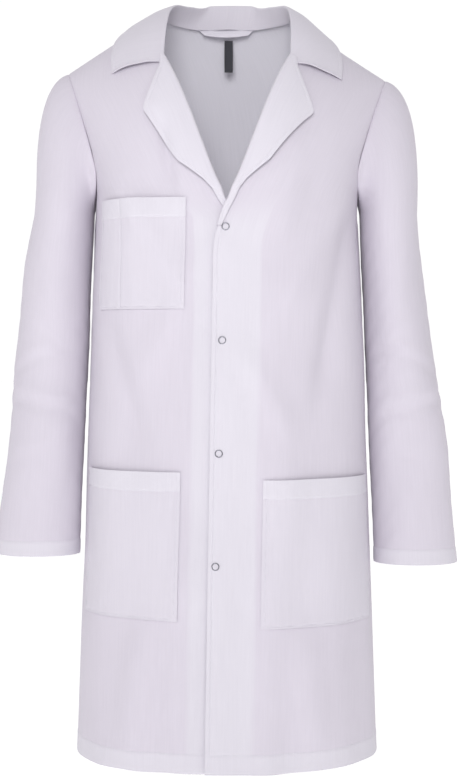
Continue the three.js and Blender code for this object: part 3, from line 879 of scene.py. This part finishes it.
def collar_points(u, v):
    """The stand rises from the neck seam and leans in; the fall drops from it to the edge."""
    hand = np.where(u < 0.5, -1.0, 1.0)
    share = np.abs(2 * u - 1)
    neck, edge = place_on(NECK_HALF, share), place_on(EDGE_HALF, share)
    stand = COLLAR_STAND * np.interp(share, [0, 0.3, 0.5, 0.8, 1], [1.10, 1.18, 0.88, 0.36, 0.12])
    lean = np.stack([-1.25 * smooth(neck[:, 0], 0.02, 0.08), 0 * share, 1 + 0 * share], -1)
    rise = unit(lean) * stand[:, None]
    rising = v[:, None] < 0.3
    across = np.where(rising, 0, (v[:, None] - 0.3) / 0.7)
    point = neck[None] + (edge - neck)[None] * across[..., None]
    up = shoulder_normal(point.copy())
    seam = v[:, None] / 0.3
    lie = np.where(rising, lerp(-0.0035, COLLAR_LIE * 0.6, seam),
                   lerp(COLLAR_LIE * 0.6, COLLAR_LIE, smooth(across, 0, 0.3)))
    belly = lerp(0.0040, 0.0065, share[None] ** 2) * np.sin(math.pi * across)
    climb = np.where(rising, lerp(-0.15, 1, seam), (1 - across) ** 2.8)
    inward = unit(np.stack([neck[:, 0], neck[:, 1], 0 * share], -1)) * -0.0018
    point = (point + up * (lie + belly)[..., None] + rise[None] * climb[..., None]
             + inward[None] * (1 - smooth(v, 0, 0.3))[:, None, None])
    point[..., 0] = point[..., 0] * hand[None] + COLLAR_ASIDE * np.clip(climb, 0, 1) * (
        1 - share[None] ** 3)
    ripple = 0.0014 * np.sin(point[..., 0] * 74 + 0.8) * np.sin(math.pi * across) ** 2
    point = point + up * ripple[..., None]
    near_fold = np.exp(-((v - 0.3) / 0.16) ** 2)
    return soften(point, 26, near_fold)


def collar_cloths():
    """The collar, the under collar beneath its fall, and the stitches near its edges."""
    u, v = collar_grid()
    points = collar_points(u, v)
    run = lengths(points)
    to_edge = run[-1:, :, 1] - run[..., 1]
    to_end = np.minimum(run[..., 0], run[:, -1:, 0] - run[..., 0])
    falling = smooth(v, 0.36, 0.5)[:, None]
    relief = (groove(to_edge - EDGE_STITCH) + groove(to_end - EDGE_STITCH)) * falling
    relief = relief + 0.0004 * (1 - smooth(np.minimum(to_edge, to_end), 0.003, 0.009)) * falling
    top = cloth("collar_cloth", points, twill, outer=relief, layers=COLLAR_TONE)
    normal = normals_of(points, False)
    under = points - normal * 0.0021
    rows = (v > 0.43) & (v < 0.975)
    cols = (u > 0.01) & (u < 0.99)
    lower = cloth("collar_underside", under[rows][:, cols], twill)
    flat_rows = np.nonzero(v > 0.5)[0]
    row = flat_rows[int(np.argmin(np.abs(to_edge[flat_rows, len(u) // 2] - EDGE_STITCH)))]
    keep = (run[row, :, 0] > EDGE_STITCH) & (run[row, -1, 0] - run[row, :, 0] > EDGE_STITCH)
    outer_line = np.stack([
        [np.interp(to_edge[0, i] - EDGE_STITCH, run[:, i, 1], points[:, i, k]) for k in range(3)]
        for i in np.nonzero(keep)[0]])
    lift = CLOTH / 2
    up = normal[row][keep]
    runs = [(outer_line + up * lift, up, -0.0001)]
    for columns in (slice(0, 40), slice(-40, None)):
        line, side_up = [], []
        for j in range(len(v)):
            if v[j] < 0.42 or to_edge[j, columns][0] < EDGE_STITCH:
                continue
            distance = to_end[j, columns]
            order = np.argsort(distance)
            line.append([np.interp(EDGE_STITCH, distance[order], points[j, columns][order, k])
                         for k in range(3)])
            side_up.append(normal[j, columns][3])
        runs.append((np.array(line) + np.array(side_up) * lift, np.array(side_up), -0.0001))
    return top, lower, runs


# ---- sleeves ---------------------------------------------------------------------------------
# a sleeve's ring at its top and at its cuff: the middle across, and the half sizes x and y
SLEEVE_TOP = 0.745
TOP_CENTRE, TOP_HALF = 0.226, (0.040, 0.066)
CUFF_CENTRE, CUFF_HALF = 0.259, (0.052, 0.041)
CUFF_LEVEL = 0.262
CUFF_FORWARD = 0.014
CUFF_BAND = 0.021
SLEEVE_SPLIT = 0.600                # level of the seam between upper and lower sleeve
CUFF_RISE = {1: 0.0, -1: 0.012}
SLEEVE_SPREAD = {1: (0.000, 0.010), -1: (0.008, 0.003)}     # wider at the elbow and at the cuff
CAP_REACH, CAP_DROP = 0.050, 0.040
BODY_SIDE_CALM = 0.75               # how much smoother a sleeve is where it faces the body


def armhole_point(turn):
    """A point of the armhole seam: turn runs from the shoulder down the front and up the back."""
    share = np.where(turn <= 0.5, turn * 2, (1 - turn) * 2)
    w = np.clip(2 - share, 1, 2)
    s = armhole(w)
    front, back = plain_body(s, w, FRONT), plain_body(s, w, BACK)
    return np.where((turn <= 0.5)[..., None], front, back)


def sleeve_ring(turn, z):
    """A point of the hanging sleeve's plain tube."""
    share = (SLEEVE_TOP - z) / (SLEEVE_TOP - CUFF_LEVEL)
    angle = turn * 2 * math.pi
    x = lerp(TOP_CENTRE, CUFF_CENTRE, share) + lerp(TOP_HALF[0], CUFF_HALF[0], share) * np.cos(angle)
    y = -CUFF_FORWARD * share - lerp(TOP_HALF[1], CUFF_HALF[1], share) * np.sin(angle)
    return np.stack(np.broadcast_arrays(x, y, z), -1)


def cap_point(turn, share):
    """A point of the sleeve's head: a cubic curve from the armhole seam to the sleeve's top."""
    seam = armhole_point(turn) + np.array([0.0001, 0, 0])
    ring = sleeve_ring(turn, np.full_like(turn, SLEEVE_TOP))
    out = (1 + np.cos(turn * 2 * math.pi)) / 2
    side = np.sin(turn * 2 * math.pi)
    leave = unit(np.stack([0.25 + 0.7 * out, -0.45 * side, -0.25 - 0.5 * (1 - out)], -1))
    first = seam + leave * (CAP_REACH * (0.15 + 0.85 * out))[..., None]
    drop = CAP_DROP * (0.15 + 0.85 * out) * 1.4
    second = ring + np.stack([0 * drop, 0 * drop, drop], -1)
    t = share[..., None]
    return (seam * (1 - t) ** 3 + 3 * first * t * (1 - t) ** 2
            + 3 * second * t ** 2 * (1 - t) + ring * t ** 3)


def sleeve_folds(turn, z, seed):
    """Wrinkles of a hanging sleeve: long slanting ones, and short ones inside the elbow."""
    draw = np.random.default_rng(seed)
    angle = turn * 2 * math.pi
    total = 0.0
    for _ in range(7):
        round_, lean = draw.integers(1, 4), lerp(8, 26, draw.random())
        phase, slow = draw.random() * 2 * math.pi, draw.random() * 2 * math.pi
        hand = 1 if draw.random() < 0.5 else -1
        fade = 0.5 + 0.5 * np.sin(z * lerp(9, 20, draw.random()) + slow)
        total = total + 0.0011 * fade * np.sin(round_ * angle + hand * lean * z + phase)
    elbow = np.exp(-((z - 0.500) / 0.085) ** 2)
    inside = 0.45 + 0.55 * np.sin(angle)
    for k, (place, lean) in enumerate(((0.575, 0.030), (0.535, -0.022), (0.498, 0.026),
                                       (0.455, -0.030), (0.415, 0.020))):
        line = z - place - lean * np.cos(angle + 0.7 * k)
        total = total - 0.0019 * elbow * inside * np.exp(-(line / 0.0085) ** 2)
        total = total + 0.0013 * elbow * inside * np.exp(-((line - 0.017) / 0.011) ** 2)
    top = smooth(z, 0.90, 0.70)
    hem = smooth(z, CUFF_LEVEL, CUFF_LEVEL + 0.045)
    return total * (0.15 + 0.85 * hem) * np.clip(top, 0.0, 1)


def sleeve_normal(points):
    around = np.roll(points, -1, 1) - np.roll(points, 1, 1)
    return unit(np.cross(around, np.gradient(points, axis=0)))


def sleeve_cloths(word, side):
    """The upper and the lower sleeve, and the stitches of the cuff's hem."""
    columns = 112
    turn = np.arange(columns) / columns
    cap = np.concatenate([[0, 0.004, 0.010, 0.018], np.linspace(0.03, 1, 40)])
    rows = [cap_point(turn, np.full(columns, c)) for c in cap]
    levels = list(np.linspace(SLEEVE_TOP, SLEEVE_SPLIT, 30)[1:])
    split = len(rows) + len(levels)
    hem = CUFF_LEVEL + CUFF_BAND
    lower = [SLEEVE_SPLIT - z for z in fine_steps(
        SLEEVE_SPLIT - CUFF_LEVEL, 0.0052, (SLEEVE_SPLIT - hem,), reach=0.0035)[1:]]
    rows += [sleeve_ring(turn, np.full(columns, z)) for z in levels + lower]
    points = np.array(rows)
    below = np.maximum(SLEEVE_SPLIT - points[..., 2], 0) / (SLEEVE_SPLIT - CUFF_LEVEL)
    rise = CUFF_RISE[side] * below
    outward = sleeve_normal(points)
    centre = points.mean(1, keepdims=True)
    hand = np.sign(np.mean(np.sum(outward * (points - centre), -1)))
    outward = outward * hand
    z = points[..., 2]
    turns = np.broadcast_to(turn[None], z.shape)
    amount = sleeve_folds(turns, z, 5 if side > 0 else 11)
    amount = amount * (1 - BODY_SIDE_CALM * smooth(-np.cos(turns * 2 * math.pi), 0.55, 0.95))
    crumple = 0.00035 * np.sin(turns * 2 * math.pi * 9 + z * 120) * np.sin(z * 75 + turns * 20)
    points = points + outward * (amount + crumple * (z < 0.72))[..., None]
    outer_half = 0.5 + 0.5 * np.cos(turns * 2 * math.pi)
    near, far = SLEEVE_SPREAD[side]
    points[..., 0] += outer_half * (near * smooth(z, 0.80, 0.66) + far * smooth(z, 0.66, 0.40))
    to_seam = np.zeros_like(z)
    step = np.linalg.norm(np.diff(points, axis=0), axis=-1)
    to_seam[1:] = np.cumsum(step, 0)
    relief = seam_dip(to_seam) + band(z - CUFF_LEVEL, CUFF_BAND, 0.0006) * (z < 0.4)
    seam_turn = np.abs(turns - 0.52)
    relief = relief + seam_dip(seam_turn * 0.32, 0.0018, 0.0009) * (z < 0.86)
    points[..., 2] += rise
    points[..., 0] *= side
    flip = int(hand) * side
    upper = cloth(f"{word}_upper_cloth", points[:split], twill, outer=relief[:split], ring=True,
                  flip=flip)
    second_tone = HEM_TONE * turned_up(z - CUFF_LEVEL, CUFF_BAND)
    forearm = cloth(f"{word}_forearm_cloth", points[split - 1:], twill,
                    outer=relief[split - 1:], ring=True, flip=flip, layers=second_tone[split - 1:])
    index = int(np.argmin(np.abs(z[:, 0] - hem)))
    path = np.concatenate([points[index], points[index][:1]])
    up = outward[index] * np.array([side, 1, 1])
    up = np.concatenate([up, up[:1]])
    hem_runs = [(path + up * CLOTH / 2, up, -0.0001)]
    return upper, forearm, hem_runs


# ---- strips and snaps ------------------------------------------------------------------------
def strip(name, box, material, sag, flare):
    """A flat tape that fills a box seen from the front, hanging from its top edge."""
    low, high = box
    u, v = np.linspace(0, 1, 60)[None], np.linspace(0, 1, 26)[:, None]
    wide, tall = high[0] - low[0], high[2] - low[2] - sag
    x = (low[0] + high[0]) / 2 + wide * (u - 0.5) * (1 - flare * v)
    z = high[2] - sag * np.sin(math.pi * u) - tall * v
    y = (low[1] + high[1]) / 2 + 0.0012 * np.sin(math.pi * v) * np.sin(math.pi * u) + 0 * x
    points = np.stack(np.broadcast_arrays(x, y, z + 0 * x), -1)
    rim = np.minimum(np.minimum(u, 1 - u) * wide, np.minimum(v, 1 - v) * tall)
    relief = 0.00025 * (1 - smooth(rim, 0.0006, 0.0014)) + groove(rim - 0.0018, 0.0006, 0.0002)
    return cloth(name, points, material, thickness=0.0011, outer=relief, inner=relief)


def turned(name, profile, centre, normal, material, sides=64, prongs=0):
    """A turned ring: profile is radius and height pairs going round the section."""
    up = Vector(normal)
    basis = up.to_track_quat("Z", "Y").to_matrix()
    angle = np.arange(sides) / sides * 2 * math.pi
    profile = np.array(profile)
    radius = profile[:, 0:1] + 0 * angle[None]
    height = profile[:, 1:2] + 0 * angle[None]
    if prongs:
        notch = np.exp(-((np.mod(angle * prongs / (2 * math.pi), 1) - 0.5) / 0.12) ** 2)
        inner = (profile[:, 0:1] - profile[:, 0].min()) / np.ptp(profile[:, 0])
        height = height - 0.00018 * notch[None] * np.sign(height) * (1 - inner)
    local = np.stack([radius * np.cos(angle), radius * np.sin(angle), height], -1)
    verts = local.reshape(-1, 3) @ np.array(basis).T + np.array(centre)
    count = len(profile)
    j, i = np.meshgrid(np.arange(count), np.arange(sides), indexing="ij")
    a, b = j * sides + i, j * sides + (i + 1) % sides
    nj = (j + 1) % count
    faces = np.stack([a, b, nj * sides + (i + 1) % sides, nj * sides + i], -1).reshape(-1, 4)
    mesh = bpy.data.meshes.new(name)
    mesh.from_pydata(verts.tolist(), [], faces.tolist())
    mesh.update()
    return link(name, mesh, material, 40)


def ring_section(inner, outer, height, points=14):
    """The section of a domed ring from its flat back over its round front."""
    angle = np.linspace(0, math.pi, points)
    middle, half = (inner + outer) / 2, (outer - inner) / 2
    dome = [(middle - half * math.cos(a), height * math.sin(a) ** 0.8) for a in angle]
    return dome + [(middle + half * 0.6, -0.00015), (middle - half * 0.6, -0.00015)]


# ---- assembly --------------------------------------------------------------------------------
LIFT_SLANT = 0.7071                 # a slant down and out at 45 degrees at the armpit


def front_blend(piece):
    """Bakes a front piece's transform into its mesh."""
    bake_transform(piece)


stitch_runs = {}
pieces = {}
for word, side in SIDES:
    front, runs = front_cloth(word, side)
    lapel, lapel_runs = lapel_cloth(word, side)
    facing = facing_cloth(word, side)
    pieces[f"{word}_front"], pieces[f"{word}_lapel"] = front, lapel
    pieces[f"{word}_facing"] = facing
    stitch_runs[word] = runs + lapel_runs

SNAP_TOP, SNAP_PITCH, SNAP_EDGE = 0.719, 0.148, (0.016, 0.010)


def edge_chord(w):
    """The left closing edge's place across, taken straight from the hem to the break."""
    return np.interp(w * CHEST_LEVEL, (0, BREAK), (-0.029, -0.017))


def pocket_inner(gap):
    """A pocket's inner side, which follows the closing edge."""
    return lambda w: gap(edge_chord(w)) / half_width(w)


def share_line(value):
    """A pocket's side along a fixed share of the half width."""
    return lambda w: np.full_like(w, value)


POCKET_TOP, POCKET_BASE = 0.398, 0.202
POCKET_SIDE, POCKET_SWELL = 0.955, 0.0036
LEFT_POCKET_DROP = 0.010           # the wearer's left pocket sits this much lower
CHEST_POCKET = dict(low=0.612, high=0.758, swell=0.0030, slot=0.072)
CHEST_POCKET_SIDES = (0.29, 0.905)
LOWER_POCKETS = (("left", 1, lambda edge: edge + 0.070, LEFT_POCKET_DROP),
                 ("right", -1, lambda edge: 0.038 - edge, 0.0))
for word, side, gap, drop in LOWER_POCKETS:
    pieces[f"{word}_pocket"], runs = pocket_cloth(
        f"{word}_pocket_cloth", side, pocket_inner(gap), share_line(POCKET_SIDE),
        POCKET_BASE - drop, POCKET_TOP - drop, POCKET_SWELL)
    stitch_runs[word] += runs
pieces["chest_pocket"], runs = pocket_cloth(
    "chest_pocket_cloth", -1, *map(share_line, CHEST_POCKET_SIDES), **CHEST_POCKET)
stitch_runs["right"] += runs

back, back_runs = back_cloth()
collar, underside, collar_runs = collar_cloths()

root_stitches = stitching("back_and_collar_stitches", back_runs + collar_runs, thread)
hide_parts("back_left", "back_right")
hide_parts("upper_collar")
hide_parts("under_collar")
for piece in (back, collar, underside, root_stitches):
    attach(piece, "root")

REPLACED = {
    "front": ("front_panel", "front_side"), "lapel": ("lapel",), "facing": ("facing",),
    "pocket": ("pocket",),
}
for word, side in SIDES:
    seams = stitching(f"{word}_front_stitches", stitch_runs[word], thread)
    front_blend(seams)
    for kind, nodes in REPLACED.items():
        piece = pieces[f"{word}_{kind}"]
        front_blend(piece)
        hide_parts(*(f"{word}_{node}" for node in nodes))
front_blend(pieces["chest_pocket"])
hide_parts("chest_pocket")

for word, side in SIDES:
    upper, forearm, runs = sleeve_cloths(word, side)
    way = np.array([side * LIFT_SLANT, 0, -LIFT_SLANT])
    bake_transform(upper)
    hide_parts(f"{word}_sleeve_head", f"{word}_upper_sleeve")
    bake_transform(forearm)
    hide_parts(f"{word}_forearm_sleeve")
    cuff_seam = stitching(f"{word}_cuff_stitches", runs, thread)
    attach(cuff_seam, f"{word}_forearm")

LOOP_SAG, LOOP_TAPER = 0.003, 0.25
loop = strip("hanger_loop_tape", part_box("hanger_loop"), tape, LOOP_SAG, LOOP_TAPER)
tag = strip("neck_tag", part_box("neck_label"), tag_weave, 0.0, 0.0)
for piece, node, slot in ((loop, "hanger_loop", "coat_cloth"), (tag, "neck_label", "label_cloth")):
    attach(piece, node)
    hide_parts(node)

# ring snaps: the ring and socket in the left front, the stud and its back ring in the right one
SNAP_RADIUS = 0.0056
SEAT = CLOTH / 2
SNAP_GAP = 0.0001
SNAP_COUNT = 4
for k in range(SNAP_COUNT):
    height = level(SNAP_TOP - k * SNAP_PITCH)
    share = (edge_chord(height) + lerp(*SNAP_EDGE, k / (SNAP_COUNT - 1))) / half_width(height)
    normal = body_normal(np.float64(share), np.float64(height), FRONT)

    def seat(lift):
        return body(share, height, FRONT, lift).reshape(3)

    parts = (
        ("front_ring", ring_section(0.0039, 0.0053, 0.0010), OVERLAP_LIE + SEAT + SNAP_GAP, 1,
         10, "left_front"),
        ("socket", ring_section(0.0024, SNAP_RADIUS, 0.0008),
         OVERLAP_LIE + FACING_LIE - SEAT - SNAP_GAP, -1, 0, "left_front"),
        ("stud", [(0.0001, 0.0016), (0.0012, 0.0016), (0.0017, 0.0012), (0.0016, 0.0006),
                  (0.0022, 0.0004), (0.0050, 0.0004), (SNAP_RADIUS, 0.0001), (0.0001, 0.0001)],
         SEAT, 1, 0, "right_front"),
        ("back_ring", ring_section(0.0031, SNAP_RADIUS, 0.0010), FACING_LIE - SEAT - SNAP_GAP,
         -1, 10, "right_front"),
    )
    for kind, section, lift, way, prongs, body_name in parts:
        node = f"snap_{k + 1}_{kind}"
        piece = turned(f"{node}_metal", section, seat(lift), normal * way, plate, prongs=prongs)
        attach(piece, body_name)
        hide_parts(node)

# ---- floor, light and camera -----------------------------------------------------------------
floor_mesh = bpy.data.meshes.new("floor")
FLOOR_HALF, FLOOR_LEVEL = 30.0, -0.35
floor_mesh.from_pydata(
    [(x * FLOOR_HALF, y * FLOOR_HALF, FLOOR_LEVEL) for x, y in ((-1, -1), (1, -1), (1, 1), (-1, 1))],
    [], [(0, 1, 2, 3)])


def floor_look(node, surface, tree):
    place = node("TexCoord").outputs["Object"]
    speck = node("TexNoise", Vector=place, Scale=6.0, Detail=2.0).outputs["Fac"]
    tree.links.new(blend_colour(node, tree, speck, (0.90, 0.90, 0.90), (0.93, 0.93, 0.93)),
                   surface.inputs["Base Color"])
    surface.inputs["Roughness"].default_value = 1.0
    surface.inputs["Emission Color"].default_value = (1, 1, 1, 1)
    surface.inputs["Emission Strength"].default_value = 0.42


floor_mesh.materials.append(shader("pale_floor", floor_look))
floor = add_object("floor", floor_mesh)

world = bpy.data.worlds.new("studio")
bpy.context.scene.world = world
world.use_nodes = True
world_tree = world.node_tree
background = world_tree.nodes["Background"]
way_out = world_tree.nodes.new("ShaderNodeTexCoord")
parts_of = world_tree.nodes.new("ShaderNodeSeparateXYZ")
backdrop = world_tree.nodes.new("ShaderNodeMapRange")
backdrop.interpolation_type = "SMOOTHSTEP"
WORLD_FROM_TO = (-0.3, 0.5, 0.40, 1.02)      # how far back, and how bright: front, then back
for socket, value in zip(backdrop.inputs[1:5], WORLD_FROM_TO):
    socket.default_value = value
world_tree.links.new(way_out.outputs["Generated"], parts_of.inputs[0])
world_tree.links.new(parts_of.outputs["Y"], backdrop.inputs[0])
world_tree.links.new(backdrop.outputs[0], background.inputs["Strength"])
background.inputs["Color"].default_value = (1.0, 1.0, 1.0, 1)


def area_light(name, place, target, size, power):
    data = bpy.data.lights.new(name, "AREA")
    data.shape = "RECTANGLE"
    data.size, data.size_y = size
    data.energy = power
    lamp = add_object(name, data)
    lamp.location = place
    lamp.rotation_euler = (Vector(target) - Vector(place)).to_track_quat("-Z", "Y").to_euler()


area_light("front", (-0.12, -2.3, 1.30), (0, 0, 0.82), (0.8, 0.8), 27.5)
area_light("key", (-1.8, -1.2, 1.7), (0, 0, 0.6), (0.5, 0.9), 2.5)

CAMERA_PLACE, CAMERA_TARGET = (0.003, -2.0, 0.570), (0.003, 0.0, 0.504)
camera_data = bpy.data.cameras.new("camera")
camera_data.sensor_fit = "VERTICAL"
camera_data.sensor_height = 36
camera_data.lens = 66
camera = add_object("camera", camera_data)
camera.location = CAMERA_PLACE
aim = Vector(CAMERA_TARGET) - Vector(CAMERA_PLACE)
camera.rotation_euler = aim.to_track_quat("-Z", "Y").to_euler()
bpy.context.scene.camera = camera
bpy.context.scene.view_settings.view_transform = "Standard"
